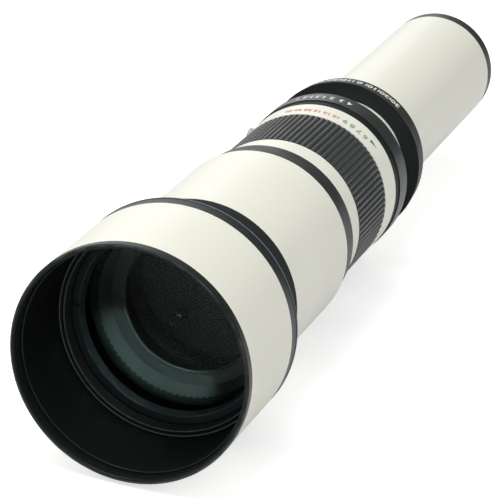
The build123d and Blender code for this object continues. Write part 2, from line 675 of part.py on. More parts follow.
# Foot: a stem screwed to the collar's flat and a plate that reaches forward under the barrel
foot_rear_y = collar_middle_y + foot_stem_length / 2
foot_front_y = foot_rear_y - foot_length
foot_middle_y = (foot_front_y + foot_rear_y) / 2
socket_y = foot_front_y + socket_setback
screw_seat = foot_drop - foot_thickness
with BuildPart() as tripod_foot:
    with BuildSketch(radial_plane(downwards, screw_seat, foot_middle_y)):
        Rectangle(foot_width, foot_length)
    extrude(amount=foot_thickness)
    fillet(tripod_foot.edges().filter_by(Axis.Z).group_by(Axis.Y)[0], radius=foot_corner_radius)
    with BuildSketch(radial_plane(downwards, flat_drop + seat_clearance, collar_middle_y)):
        Rectangle(foot_width, foot_stem_length)
    extrude(amount=foot_drop - flat_drop - seat_clearance)
    with BuildSketch(radial_plane(downwards, flat_drop, collar_middle_y)):
        with GridLocations(foot_screw_spacing, foot_screw_spacing, 2, 1):
            Circle(foot_screw_radius + seat_clearance)
    extrude(amount=foot_drop - flat_drop, mode=Mode.SUBTRACT)
    with BuildSketch(radial_plane(downwards, screw_seat - foot_screw_head_length, collar_middle_y)):
        with GridLocations(foot_screw_spacing, foot_screw_spacing, 2, 1):
            Circle(foot_screw_head_radius + running_clearance)
    extrude(amount=foot_thickness + foot_screw_head_length, mode=Mode.SUBTRACT)
    with BuildSketch(radial_plane(downwards, foot_drop - socket_depth, socket_y)):
        Circle(socket_bush_radius + seat_clearance)
    extrude(amount=socket_depth, mode=Mode.SUBTRACT)

screw_root = flat_drop - foot_screw_hold + seat_clearance
screw_neck = screw_seat - foot_screw_head_length + seat_clearance
with BuildPart() as foot_screws:
    with BuildSketch(radial_plane(downwards, screw_root, collar_middle_y)):
        with GridLocations(foot_screw_spacing, foot_screw_spacing, 2, 1):
            Circle(foot_screw_radius)
    extrude(amount=screw_neck - screw_root)
    with BuildSketch(radial_plane(downwards, screw_neck, collar_middle_y)):
        with GridLocations(foot_screw_spacing, foot_screw_spacing, 2, 1):
            Circle(foot_screw_head_radius)
    extrude(amount=foot_screw_head_length)
    with BuildSketch(radial_plane(downwards, screw_seat + seat_clearance, collar_middle_y)):
        with GridLocations(foot_screw_spacing, foot_screw_spacing, 2, 1):
            RegularPolygon(foot_screw_socket_radius, 6)
    extrude(amount=-foot_screw_socket_depth, mode=Mode.SUBTRACT)

with BuildPart() as tripod_socket:
    with BuildSketch(radial_plane(downwards, foot_drop - socket_depth, socket_y)):
        Circle(socket_bush_radius)
        Circle(socket_radius, mode=Mode.SUBTRACT)
    extrude(amount=socket_depth)

# Clamp: a knob on a screw that pushes a nylon pad against the tube
knob_base = boss_reach + air_gap
with BuildPart() as clamp_knob:
    with BuildSketch(radial_plane(knob_side, knob_base, collar_middle_y)):
        Circle(knob_neck_radius)
    extrude(amount=knob_neck_length)
    with BuildSketch(radial_plane(knob_side, knob_base + knob_neck_length, collar_middle_y)):
        Circle(knob_radius)
    extrude(amount=knob_length - knob_neck_length)
    fillet(clamp_knob.edges().group_by(Axis.X)[0], radius=knob_edge_round)
    with BuildSketch(radial_plane(knob_side, knob_base + knob_neck_length, collar_middle_y)):
        with PolarLocations(knob_radius + knob_flute_radius - knob_flute_depth, knob_flute_count):
            Circle(knob_flute_radius)
    extrude(amount=knob_length, mode=Mode.SUBTRACT)
    with BuildSketch(radial_plane(knob_side, knob_base, collar_middle_y)):
        Circle(clamp_screw_radius + seat_clearance)
    extrude(amount=clamp_screw_hold, mode=Mode.SUBTRACT)

with BuildPart() as clamp_screw:
    with BuildSketch(radial_plane(knob_side, clamp_screw_tip, collar_middle_y)):
        Circle(clamp_screw_radius)
    extrude(amount=knob_base + clamp_screw_hold - seat_clearance - clamp_screw_tip)

with BuildPart() as clamp_pad:
    with BuildSketch(radial_plane(knob_side, pad_face, collar_middle_y)):
        Circle(pad_radius)
    extrude(amount=pad_thickness)

pieces = {
    "hood_rim": hood_rim, "hood_tube": hood_tube, "hood_band": hood_band,
    "hood_lining": hood_lining, "front_cell": front_cell,
    "front_retaining_ring": front_retaining_ring, "front_element": front_element,
    "element_spacer": element_spacer, "second_element": second_element,
    "front_barrel": front_barrel, "waist_ring": waist_ring, "core_barrel": core_barrel,
    "index_ring": index_ring, "index_screws": index_screws, "rear_bush": rear_bush,
    "zoom_key": zoom_key, "focus_sleeve": focus_sleeve, "focus_grip": focus_grip,
    "focus_cam_tube": focus_cam_tube, "focus_cell": focus_cell,
    "focus_element": focus_element, "focus_retaining_ring": focus_retaining_ring,
    "focus_followers": focus_followers, "rear_tube": rear_tube,
    "tube_guide_ring": tube_guide_ring, "front_baffle": front_baffle,
    "rear_baffle": rear_baffle, "rear_group_cell": rear_group_cell,
    "rear_element_front": rear_element_front, "rear_element_back": rear_element_back,
    "rear_retaining_rings": rear_retaining_rings, "rear_rim": rear_rim,
    "camera_thread": camera_thread, "collar_ring": collar_ring, "tripod_foot": tripod_foot,
    "foot_screws": foot_screws, "tripod_socket": tripod_socket, "clamp_knob": clamp_knob,
    "clamp_screw": clamp_screw, "clamp_pad": clamp_pad,
}
os.makedirs("parts", exist_ok=True)
for name, piece in pieces.items():
    piece.part.label = name
    export_step(piece.part, f"parts/{name}.step")
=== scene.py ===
"""A long telephoto zoom lens in ivory enamel and black anodised metal, seen from its front
right and from above. Lengths are in metres, and the optical axis is Y, the front at -Y."""
import bpy
import numpy as np
from mathutils import Matrix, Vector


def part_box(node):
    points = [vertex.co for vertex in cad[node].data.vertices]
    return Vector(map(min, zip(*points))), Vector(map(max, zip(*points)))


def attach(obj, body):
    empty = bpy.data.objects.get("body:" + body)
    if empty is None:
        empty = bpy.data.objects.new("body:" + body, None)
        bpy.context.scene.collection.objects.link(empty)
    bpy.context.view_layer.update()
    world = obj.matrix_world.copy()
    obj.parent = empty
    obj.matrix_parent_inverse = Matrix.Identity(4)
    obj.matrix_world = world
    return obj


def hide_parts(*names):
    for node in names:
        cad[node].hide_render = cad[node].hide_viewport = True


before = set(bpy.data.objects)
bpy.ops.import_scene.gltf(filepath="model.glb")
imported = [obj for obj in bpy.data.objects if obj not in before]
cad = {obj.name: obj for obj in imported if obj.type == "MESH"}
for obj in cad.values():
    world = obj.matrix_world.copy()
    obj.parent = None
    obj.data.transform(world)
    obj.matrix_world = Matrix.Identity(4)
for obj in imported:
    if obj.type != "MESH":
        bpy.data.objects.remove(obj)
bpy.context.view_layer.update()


# Camera. The photograph was taken with a long focal length from the front right, a little
# above the lens, so that its front rim is large and the camera end is still in view.
def placing(right, up, back, place):
    """The matrix that turns x, y and z into the three directions and moves to the place."""
    return Matrix([*np.transpose([right, up, back, place]).tolist(), [0, 0, 0, 1]])


camera = bpy.data.objects.new("camera", bpy.data.cameras.new("camera"))
camera.data.lens = 201.25
camera.data.sensor_width = 36.0
camera.data.clip_end = 20.0
picture_right, picture_up = (0.93706, 0.34246, 0.06803), (-0.18813, 0.33106, 0.92467)
towards_eye, eye = (0.29414, -0.87927, 0.37465), (0.37855, -1.43828, 0.48107)
camera.matrix_world = placing(picture_right, picture_up, towards_eye, eye)
bpy.context.scene.collection.objects.link(camera)
bpy.context.scene.camera = camera
bpy.context.scene.view_settings.view_transform = "Standard"


# Floor. A pale table top just under the tripod foot. It shows white, and keeps the soft
# shadow of the lens, because only a part of its light is its own. What shiny faces see of it
# fades out in front of the lens, where the table ends.
def fill(tree, node, *inputs):
    """Sets a node's inputs. Each input is a pair of a socket's name or number and either its
    value or the output that feeds it."""
    for socket, value in inputs:
        if isinstance(value, bpy.types.NodeSocket):
            tree.links.new(value, node.inputs[socket])
        else:
            node.inputs[socket].default_value = value
    return node


def add_node(tree, kind, *inputs, **settings):
    """Adds a shader node and sets its inputs. Settings are the node's own choices."""
    made = tree.nodes.new("ShaderNode" + kind)
    for choice, value in settings.items():
        setattr(made, choice, value)
    return fill(tree, made, *inputs)


def maths(tree, operation, *values):
    """What an operation makes of values or outputs."""
    return add_node(tree, "Math", *enumerate(values), operation=operation).outputs[0]


def ramp(tree, value, start, end, first=0.0, last=1.0):
    """Goes from first to last as the value goes from start to end, and stays there beyond."""
    return add_node(tree, "MapRange", ("Value", value), ("From Min", start), ("From Max", end),
                    ("To Min", first), ("To Max", last)).outputs[0]


def blend(tree, share, first, second):
    """One minus the share of the first colour, plus the share of the second."""
    return add_node(tree, "Mix", (0, share), (6, first), (7, second),
                    data_type="RGBA").outputs[2]


def along(tree, coordinates, direction):
    """How far the coordinates, an output of the texture coordinate node, reach along a
    direction."""
    place = add_node(tree, "TexCoord").outputs[coordinates]
    return add_node(tree, "VectorMath", (0, place), (1, direction),
                    operation="DOT_PRODUCT").outputs["Value"]


def shown_to_eye(tree, gloss):
    """1 for rays that come from the camera or through glass, and the gloss, which is a value
    or the output that gives it, for rays off a shiny face."""
    path = add_node(tree, "LightPath")
    direct = maths(tree, "MAXIMUM", path.outputs["Is Camera Ray"],
                   path.outputs["Is Transmission Ray"])
    off_face = maths(tree, "MULTIPLY", path.outputs["Is Glossy Ray"], gloss)
    return maths(tree, "MAXIMUM", direct, off_face)


below_foot, floor_reach = 0.0002, 6
forward, table_fades, table_ends = (0.317, -0.948, 0.0), 0.455, 0.505
floor_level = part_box("tripod_foot")[0].z - below_foot
floor_mesh = bpy.data.meshes.new("floor")
floor_mesh.from_pydata([(floor_reach * x, floor_reach * y, floor_level)
                        for x, y in ((-1, -1), (1, -1), (1, 1), (-1, 1))], [], [(0, 1, 2, 3)])
floor = bpy.data.objects.new("floor", floor_mesh)
bpy.context.scene.collection.objects.link(floor)
table_top = bpy.data.materials.new("table_top")
table_top.use_nodes = True
tree = table_top.node_tree
tree.nodes.clear()
off_face = add_node(tree, "LightPath").outputs["Is Glossy Ray"]
past_end = ramp(tree, along(tree, "Object", forward), table_fades, table_ends)
gloss = ramp(tree, past_end, 0, 1, 0.32, 0.0)
own_light = maths(tree, "MULTIPLY", shown_to_eye(tree, gloss), 0.62)
glow = add_node(tree, "Emission", ("Color", (1, 1, 1, 1)), ("Strength", own_light))
top_colour = blend(tree, maths(tree, "MULTIPLY", off_face, past_end),
                   (0.72, 0.72, 0.72, 1), (0.02, 0.02, 0.02, 1))
matte = add_node(tree, "BsdfDiffuse", ("Color", top_colour))
both = add_node(tree, "AddShader", (0, glow.outputs[0]), (1, matte.outputs[0]))
add_node(tree, "OutputMaterial", ("Surface", both.outputs[0]))
floor_mesh.materials.append(table_top)


# Studio light. A white room gives most of it, but shiny faces see only its far left side
# bright. A broad softbox above gives the bright upper side, one far behind the sheen along the
# left shoulder, one above the camera fills the hood, and a tiny spot in it lights the glass.
room = bpy.data.worlds.new("white_room")
bpy.context.scene.world = room
room.use_nodes = True
tree = room.node_tree
tree.nodes.clear()
near_right = 0.75, -0.6, 0.28
level = ramp(tree, shown_to_eye(tree, 1.0), 0, 1, 0.57, 1.0)
side = ramp(tree, along(tree, "Generated", near_right), -0.75, -0.3, 1.0, 0.1)
off_face = add_node(tree, "LightPath").outputs["Is Glossy Ray"]
dim = add_node(tree, "Mix", (0, off_face), (2, 1.0), (3, side)).outputs[0]
level = maths(tree, "MULTIPLY", level, dim)
sky = add_node(tree, "Background", ("Color", (1, 1, 1, 1)), ("Strength", level))
add_node(tree, "OutputWorld", ("Surface", sky.outputs[0]))


def stand_at(place, aim, up):
    """The placing of a lamp that shines at its aim, with its height along up."""
    back = np.subtract(place, aim)
    back = back / np.linalg.norm(back)
    right = np.cross(up, back)
    right = right / np.linalg.norm(right)
    return placing(right, np.cross(back, right), back, place)


def softbox(name, place, aim, size, power):
    """A square area lamp."""
    lamp = bpy.data.objects.new(name, bpy.data.lights.new(name, "AREA"))
    lamp.data.shape = "SQUARE"
    lamp.data.size = size
    lamp.data.energy = power
    lamp.matrix_world = stand_at(place, aim, (0, 0, 1))
    bpy.context.scene.collection.objects.link(lamp)


lens_middle, hood_mouth = (0, -0.25, 0), (0, -0.45, 0)
softbox("key_box", (-0.22, -0.57, 1.55), lens_middle, 0.9, 14.0)
softbox("back_box", (-1.5, 2.6, 1.0), lens_middle, 1.6, 3.3)
softbox("front_box", (0.55, -1.5, 1.2), hood_mouth, 0.5, 2.0)
beam = bpy.data.objects.new("glass_beam", bpy.data.lights.new("glass_beam", "SPOT"))
beam.data.energy = 0.44
beam.data.spot_size = np.radians(34)
beam.data.spot_blend = 0.35
beam.data.shadow_soft_size = 0.001
beam_place, beam_aim = (0.0180, -0.4520, 0.0352), (-0.0137, -0.3760, -0.0274)
beam_up, narrowed = (0.894, 0, -0.447), Matrix.Diagonal((0.38, 1, 1, 1))
beam.matrix_world = stand_at(beam_place, beam_aim, beam_up) @ narrowed
beam.visible_camera = beam.visible_glossy = False
bpy.context.scene.collection.objects.link(beam)


# Ivory enamel. It is sprayed on the rear tube, the front barrel, the hood and the two lands of
# the focus ring, and has the faint orange peel, tone and dust specks of a baked coat.
def new_group(name, inputs, outputs):
    """An empty shader node group, with the nodes that hold its inputs and its outputs."""
    group = bpy.data.node_groups.new(name, "ShaderNodeTree")
    for side, sockets in (("INPUT", inputs), ("OUTPUT", outputs)):
        for socket, kind in sockets:
            group.interface.new_socket(socket, in_out=side, socket_type="NodeSocket" + kind)
    return group, group.nodes.new("NodeGroupInput"), group.nodes.new("NodeGroupOutput")


def use_group(tree, group, *inputs):
    """Places a node group in a material and sets its inputs."""
    made = tree.nodes.new("ShaderNodeGroup")
    made.node_tree = group
    return fill(tree, made, *inputs)


def noise(tree, scale, detail, *more):
    """A noise on the object's own coordinates. More holds other inputs of its node."""
    place = add_node(tree, "TexCoord").outputs["Object"]
    return add_node(tree, "TexNoise", ("Vector", place), ("Scale", scale), ("Detail", detail),
                    *more).outputs["Fac"]


def raised(tree, height, strength, distance):
    """The normals of a surface that a height raises by up to a distance."""
    return add_node(tree, "Bump", ("Strength", strength), ("Distance", distance),
                    ("Height", height)).outputs["Normal"]


def new_material(name):
    """A material with a Principled shader, and its tree."""
    made = bpy.data.materials.new(name)
    made.use_nodes = True
    return made, made.node_tree, made.node_tree.nodes["Principled BSDF"]


def dress(material, *names):
    """Puts a material on CAD pieces."""
    for name in names:
        for slot in cad[name].material_slots:
            slot.material = material


ivory, ivory_tone = (0.850, 0.850, 0.745, 1), (0.805, 0.803, 0.690, 1)
dust_colour = 0.42, 0.40, 0.34, 1
sprayed, given, out = new_group(
    "sprayed_coat", [("Colour", "Color")],
    [("Colour", "Color"), ("Roughness", "Float"), ("Height", "Float")])
peel = noise(sprayed, 750, 2.0, ("Roughness", 0.45))
tone = noise(sprayed, 14, 3.0)
specks = add_node(sprayed, "TexVoronoi",
                  ("Vector", add_node(sprayed, "TexCoord").outputs["Object"]),
                  ("Scale", 420), ("Randomness", 1.0))
speck_mask = ramp(sprayed, specks.outputs["Distance"], 0.05, 0.11, 0.16, 0.0)
tone_mask = ramp(sprayed, tone, 0.35, 0.7, 0.0, 0.5)
toned = blend(sprayed, tone_mask, given.outputs["Colour"], ivory_tone)
fill(sprayed, out, ("Colour", blend(sprayed, speck_mask, toned, dust_colour)),
     ("Roughness", ramp(sprayed, tone, 0, 1, 0.30, 0.42)), ("Height", peel))

from_axis, given, out = new_group("from_axis", [], [("Radius", "Float"), ("Place", "Float")])
at = add_node(from_axis, "TexCoord").outputs["Object"]
across = add_node(from_axis, "VectorMath", (0, at), (1, (1, 0, 1)), operation="MULTIPLY")
reach = add_node(from_axis, "VectorMath", (0, across.outputs[0]), operation="LENGTH")
fill(from_axis, out, ("Radius", reach.outputs["Value"]),
     ("Place", add_node(from_axis, "SeparateXYZ", ("Vector", at)).outputs["Y"]))


def enamel(name, skin):
    """Ivory enamel on a tube whose outside starts at the skin's radius. Its inside is black."""
    made, tree, shader = new_material(name)
    coat = use_group(tree, sprayed, ("Colour", ivory))
    radius = use_group(tree, from_axis).outputs["Radius"]
    outside = ramp(tree, radius, skin - 0.0001, skin)
    shade = blend(tree, outside, (0.010, 0.010, 0.010, 1), coat.outputs["Colour"])
    fill(tree, shader, ("Base Color", shade), ("Roughness", coat.outputs["Roughness"]),
         ("Normal", raised(tree, coat.outputs["Height"], 0.25, 0.00003)),
         ("Coat Weight", 0.12), ("Coat Roughness", 0.22))
    return made


tube_enamel = enamel("tube_enamel", 0.0295)
dress(tube_enamel, "rear_tube")
dress(enamel("barrel_enamel", 0.0425), "front_barrel")
dress(enamel("hood_enamel", 0.0520), "hood_tube")
dress(enamel("sleeve_enamel", 0.0388), "focus_sleeve")


# Black anodised aluminium. The rings, the collar and the foot are turned on a lathe, so fine
# lines run round them. Their edges are painted a little paler, partly as rubbed wear and partly
# as a painted highlight along the edge.
turned, given, out = new_group(
    "turned_marks", [("Pitch", "Float")], [("Height", "Float"), ("Shade", "Float")])
axis = use_group(turned, from_axis)
marks_at = add_node(turned, "CombineXYZ", ("X", axis.outputs["Place"]),
                    ("Y", axis.outputs["Radius"])).outputs[0]
fine = add_node(turned, "TexNoise", ("Vector", marks_at), ("Scale", given.outputs["Pitch"]),
                ("Detail", 3.0), noise_dimensions="2D")
fill(turned, out, ("Height", fine.outputs["Fac"]), ("Shade", noise(turned, 90, 4.0)))

# A paler ring along an edge, broken by noise: partly rubbed wear, partly a painted highlight.
edge_wear_and_highlight, given, out = new_group(
    "rubbed_and_highlit_edge", [("Radius", "Float"), ("Place", "Float"), ("Reach", "Float")],
    [("Mask", "Float")])
axis = use_group(edge_wear_and_highlight, from_axis)
off_radius = maths(edge_wear_and_highlight, "SUBTRACT", axis.outputs["Radius"], given.outputs["Radius"])
off_place = maths(edge_wear_and_highlight, "SUBTRACT", axis.outputs["Place"], given.outputs["Place"])
off = add_node(edge_wear_and_highlight, "CombineXYZ", ("X", off_radius), ("Y", off_place))
off = add_node(edge_wear_and_highlight, "VectorMath", (0, off.outputs[0]), operation="LENGTH")
near = ramp(edge_wear_and_highlight, off.outputs["Value"], 0.0, given.outputs["Reach"], 1.0, 0.0)
broken = ramp(edge_wear_and_highlight, noise(edge_wear_and_highlight, 160, 5.0), 0.3, 0.7)
fill(edge_wear_and_highlight, out, ("Mask", maths(edge_wear_and_highlight, "MULTIPLY", near, broken)))


def black_metal(name, colour, roughness, depth, edges=(), dull_and_shaded=None):
    """Black metal with turning marks. Roughness is a low and a high value, depth the marks'
    depth, and each edge a radius and a place along the axis where it is painted paler, partly
    as rubbed wear and partly as a painted highlight. The last argument, where given, is the
    first and last place of a band and what its gloss keeps; the band is left matte and painted
    a deeper black, a painted shade."""
    made, tree, shader = new_material(name)
    marks = use_group(tree, turned, ("Pitch", 2600.0))
    shade, specular = colour, 0.35
    if dull_and_shaded:
        first, last, kept = dull_and_shaded
        place = use_group(tree, from_axis).outputs["Place"]
        off_band = maths(tree, "COMPARE", place, (first + last) / 2, (last - first) / 2)
        off_band = ramp(tree, off_band, 0, 1, 1.0, kept)
        # Inside the band the colour is drawn towards a deeper black: painted shade.
        shade, specular = blend(tree, off_band, (0.011, 0.014, 0.013, 1), colour), 0.0
        fill(tree, shader, ("Coat Weight", off_band), ("Coat Roughness", sum(roughness) / 2))
    for radius, place in edges:
        mask = use_group(tree, edge_wear_and_highlight, ("Radius", radius), ("Place", place), ("Reach", 0.0007))
        # Each edge is painted a paler grey: partly rubbed wear, partly a painted highlight.
        paler = maths(tree, "MULTIPLY", mask.outputs[0], 0.55)
        shade = blend(tree, paler, shade, (0.16, 0.17, 0.17, 1))
    fill(tree, shader, ("Base Color", shade), ("Specular IOR Level", specular),
         ("Specular Tint", (0.90, 1.0, 0.98, 1)),
         ("Roughness", ramp(tree, marks.outputs["Shade"], 0.3, 0.7, *roughness)),
         ("Normal", raised(tree, marks.outputs["Height"], 0.35, depth)))
    return made


# Rear rim and camera thread. The rim is a black ring pressed into the tube's rear end, and the
# bright threaded sleeve in it takes the camera's adapter.
def closed_skin(name, points, body, material):
    """A closed skin on a grid of points, whose rows follow a closed outline and whose columns
    go once round. Each point joins the next of its row and of its column, the last one the
    first, and all faces are turned over where the volume inside comes out negative."""
    rows, columns = points.shape[:2]
    here = np.arange(rows * columns).reshape(rows, columns)
    below = np.roll(here, -1, axis=0)
    faces = np.stack([here, np.roll(here, -1, axis=1), np.roll(below, -1, axis=1), below],
                     axis=-1).reshape(-1, 4)
    flat = points.reshape(-1, 3)
    a, b, c, d = (flat[faces[:, corner]] for corner in range(4))
    if np.sum(np.cross(b, c) * a) + np.sum(np.cross(c, d) * a) < 0:
        faces = faces[:, ::-1]
    mesh = bpy.data.meshes.new(name)
    mesh.from_pydata(flat.tolist(), [], faces.tolist())
    mesh.shade_smooth()
    mesh.set_sharp_from_angle(angle=0.6)
    mesh.materials.append(material)
    made = bpy.data.objects.new(name, mesh)
    bpy.context.scene.collection.objects.link(made)
    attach(made, body)
    return made


def threaded(outline, start, end, pitch, depth, columns):
    """A closed outline of (radius, place, cut) rows turned about the axis. Where cut is 1, the
    radius falls by the depth times a triangle wave of the place over the pitch plus the share
    of a turn, and the wave dies out over one pitch at the start and at the end."""
    turn = np.linspace(0, 1, columns, endpoint=False)[None, :]
    radius, place, cut = (outline[:, column:column + 1] for column in range(3))
    wave = np.abs(((place / pitch + turn) % 1) * 2 - 1)
    fade = np.clip((place - start) / pitch, 0, 1) * np.clip((end - place) / pitch, 0, 1)
    reach = radius - depth * wave * fade * cut
    return np.stack([reach * np.cos(2 * np.pi * turn), place + 0 * reach,
                     reach * np.sin(2 * np.pi * turn)], axis=-1)


def wall_rows(radius, start, end, count):
    """Rows of a threaded wall at one radius, evenly spaced from its start to its end."""
    place = np.linspace(start, end, count)
    return np.stack([np.full(count, radius), place, np.ones(count)], axis=1)


def bare_metal(name, light, dark, metallic, roughness, depth=0.0):
    """Bare metal, mottled between a light and a dark colour. Where a depth is given, fine
    turning marks of that depth run round it."""
    made, tree, shader = new_material(name)
    marks = use_group(tree, turned, ("Pitch", 3200.0))
    fill(tree, shader, ("Base Color", blend(tree, marks.outputs["Shade"], light, dark)),
         ("Metallic", metallic), ("Roughness", roughness))
    if depth:
        fill(tree, shader, ("Normal", raised(tree, marks.outputs["Height"], 0.3, depth)))
    return made


rim_radius, rim_chamfer, tube_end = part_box("rear_rim")[1].x, 0.0012, -0.0094
dress(black_metal("rear_rim_black", (0.022, 0.027, 0.026, 1), (0.34, 0.46), 0.00002,
                  [(rim_radius, tube_end), (rim_radius - rim_chamfer, 0.0)]), "rear_rim")
bright_thread = bare_metal("bright_thread", (0.62, 0.62, 0.61, 1), (0.45, 0.45, 0.43, 1),
                           1.0, 0.32, 0.00002)
thread_low, thread_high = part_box("camera_thread")
thread_radius, thread_pitch, thread_depth = 0.021, 0.00075, 0.00046
thread_start, throat_radius, chamfer = 0.0006, 0.0188, 0.0005
outline = np.concatenate([
    [[throat_radius, thread_low.y, 0], [thread_high.x, thread_low.y, 0], [thread_high.x, 0, 0]],
    wall_rows(thread_radius, 0.0, thread_high.y - chamfer, 50),
    [[thread_radius - chamfer, thread_high.y, 0], [throat_radius, thread_high.y, 0]]])
thread = threaded(outline, thread_start, thread_high.y, thread_pitch, thread_depth, 96)
sleeve = closed_skin("camera_thread_cut", thread, "rear_body", bright_thread)
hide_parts("camera_thread")


# Inside the tubes. The core barrel, the cells and the baffles are matte black aluminium. The
# bush and the guide ring that the tubes slide on are polymer, and the key that keeps them from
# turning and the focus cell's followers are brass.
def mottled(name, scale, detail, light, dark, roughness):
    """A material mottled between two colours by a noise. It returns what new_material does."""
    made, tree, shader = new_material(name)
    fill(tree, shader, ("Base Color", blend(tree, noise(tree, scale, detail), light, dark)),
         ("Roughness", roughness))
    return made, tree, shader


inside_black = black_metal("inside_black", (0.005, 0.005, 0.0045, 1), (0.5, 0.65), 0.00003)
dress(inside_black, "core_barrel", "front_baffle", "rear_baffle", "rear_group_cell",
      "focus_cell", "focus_cam_tube", "element_spacer", "focus_retaining_ring",
      "rear_retaining_rings")
polymer = mottled("slide_polymer", 260, 3.0, (0.05, 0.05, 0.05, 1), (0.09, 0.09, 0.088, 1),
                  0.5)[0]
dress(polymer, "rear_bush", "tube_guide_ring")
dress(bare_metal("brass", (0.72, 0.52, 0.22, 1), (0.50, 0.34, 0.14, 1), 1.0, 0.35),
      "zoom_key", "focus_followers")


# Stop ring. A slim ivory ring on the tube, in front of the collar, keeps the collar in place.
# It has the tube's own enamel, and a small bevel on its front edge.
def lathe(outline, columns):
    """A closed outline of (radius, place) rows turned about the axis."""
    turn = np.linspace(0, 2 * np.pi, columns, endpoint=False)[None, :]
    radius, place = outline[:, :1], outline[:, 1:]
    return np.stack([radius * np.cos(turn), place + 0 * turn, radius * np.sin(turn)], axis=-1)


collar_low, collar_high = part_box("collar_ring")
tube_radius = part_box("rear_tube")[1].x
sunk, front_rise, ring_rise = -0.0002, 0.0006, 0.0009
ring_front, bevel_back, ring_back = -0.0018, -0.0015, -0.0001
stop = np.array([[sunk, ring_front], [front_rise, ring_front], [ring_rise, bevel_back],
                 [ring_rise, ring_back], [sunk, ring_back]]) + (tube_radius, collar_low.y)
stop_ring = closed_skin("collar_stop_ring", lathe(stop, 192), "rear_body", tube_enamel)


# Tripod collar, with its foot and clamp. The collar and foot are black anodised aluminium, held
# by two steel screws; the pale knurled knob draws a polymer pad down on the tube.
collar_edge, collar_taper = 0.0403, 0.001
dress(black_metal("collar_black", (0.010, 0.013, 0.013, 1), (0.40, 0.52), 0.00003,
                  [(collar_edge, collar_low.y), (collar_edge - collar_taper, collar_high.y)]),
      "collar_ring")
dress(black_metal("foot_black", (0.014, 0.016, 0.016, 1), (0.38, 0.5), 0.00002), "tripod_foot")
steel = bare_metal("screw_steel", (0.30, 0.30, 0.31, 1), (0.16, 0.16, 0.17, 1), 1.0, 0.36)
dress(steel, "foot_screws", "clamp_screw", "tripod_socket")
dress(bare_metal("knob_metal", (0.58, 0.59, 0.60, 1), (0.46, 0.47, 0.48, 1), 0.35, 0.45),
      "clamp_knob")
dress(polymer, "clamp_pad")

socket_low, socket_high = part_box("tripod_socket")
socket_y = (socket_low.y + socket_high.y) / 2
socket_radius, socket_pitch, socket_depth = 0.003175, 0.00127, 0.0005
clear, covered, deep_gap, open_gap = 0.00003, 0.0001, 0.0002, 0.0003
deep_end, open_end = -socket_high.z + deep_gap, -socket_low.z - open_gap
outline = np.concatenate([
    wall_rows(socket_radius - clear, deep_end, open_end, 46),
    [[socket_radius + covered, open_end, 0], [socket_radius + covered, deep_end, 0]]])
coil = threaded(outline, -socket_high.z, -socket_low.z, socket_pitch, socket_depth, 48)
coil = np.stack([coil[..., 0], socket_y + coil[..., 2], -coil[..., 1]], axis=-1)
closed_skin("tripod_socket_thread", coil, "tripod_collar", steel)


# Printed marks. Enamel numbers and ticks are printed round the collar, the index ring and the
# focus ring's rear land, where they show the collar's turn and the focusing distance.
ink_depth, ink_rise = 0.00003, 0.00005


def paint(name, colour, roughness):
    """A printed enamel, slightly uneven, as it comes off a pad."""
    thin = [0.82 * value for value in colour[:3]] + [1]
    return mottled(name, 1500, 2.0, colour, thin, roughness)[0]


def flat_letters(text, height):
    """The points and faces of a bold text, centred on the origin and flat, with a thin edge."""
    letters = bpy.data.curves.new("letters", "FONT")
    letters.body = text
    letters.size = height
    letters.align_x = letters.align_y = "CENTER"
    letters.extrude = ink_depth
    letters.offset = 0.03 * height
    letters.resolution_u = 3
    holder = bpy.data.objects.new("letters", letters)
    mesh = bpy.data.meshes.new_from_object(holder)
    points = np.empty(len(mesh.vertices) * 3)
    mesh.vertices.foreach_get("co", points)
    corners = np.empty(len(mesh.loops), int)
    mesh.loops.foreach_get("vertex_index", corners)
    counts = np.empty(len(mesh.polygons), int)
    mesh.polygons.foreach_get("loop_total", counts)
    faces = [face.tolist() for face in np.split(corners, np.cumsum(counts)[:-1])]
    bpy.data.objects.remove(holder)
    bpy.data.curves.remove(letters)
    bpy.data.meshes.remove(mesh)
    return points.reshape(-1, 3), faces


def flat_bar(width, length, lean=0.0):
    """The points and faces of a thin bar, centred on the origin, its length along y. Its far
    end is drawn in by the lean, a share of the width, which makes a pointer of it."""
    x, y, z = width / 2, length / 2, ink_depth
    near, far = x, x * (1 - lean)
    points = [(-near, -y, -z), (near, -y, -z), (far, y, -z), (-far, y, -z),
              (-near, -y, z), (near, -y, z), (far, y, z), (-far, y, z)]
    faces = [[3, 2, 1, 0], [4, 5, 6, 7], [0, 1, 5, 4], [1, 2, 6, 5], [2, 3, 7, 6], [3, 0, 4, 7]]
    return np.array(points), faces


def printed(name, marks, place, radius, slope, body, material):
    """Prints flat marks round the axis. A mark is its points and faces, its angle in degrees
    and its own shift along its height. The angle grows by x over the radius, the place along
    the axis falls by y, and the radius follows the slope of the surface."""
    all_points, all_faces, count = [], [], 0
    for (points, faces), angle, shift in marks:
        turn = np.radians(angle) + points[:, 0] / radius
        where = place - points[:, 1] - shift
        reach = radius + ink_rise + points[:, 2] + slope * (where - place)
        all_points.append(np.stack([reach * np.cos(turn), where, reach * np.sin(turn)], axis=1))
        all_faces += [[corner + count for corner in face] for face in faces]
        count += len(points)
    mesh = bpy.data.meshes.new(name)
    mesh.from_pydata(np.concatenate(all_points).tolist(), [], all_faces)
    mesh.materials.append(material)
    made = bpy.data.objects.new(name, mesh)
    bpy.context.scene.collection.objects.link(made)
    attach(made, body)


white_paint = paint("white_print", (0.88, 0.88, 0.86, 1), 0.45)
top_of_collar, collar_number, tick_width, tick_length = 84, 0.0056, 0.0007, 0.0036
collar_marks = [(flat_letters(str(abs(turn)), collar_number), top_of_collar + turn, 0)
                for turn in range(-30, 31, 10)]
collar_marks += [(flat_bar(tick_width, tick_length), top_of_collar + turn, 0)
                 for turn in range(-25, 30, 10)]
printed("collar_numbers", collar_marks, (collar_low.y + collar_high.y) / 2,
        collar_edge - collar_taper / 2, -collar_taper / (collar_high.y - collar_low.y),
        "tripod_collar", white_paint)
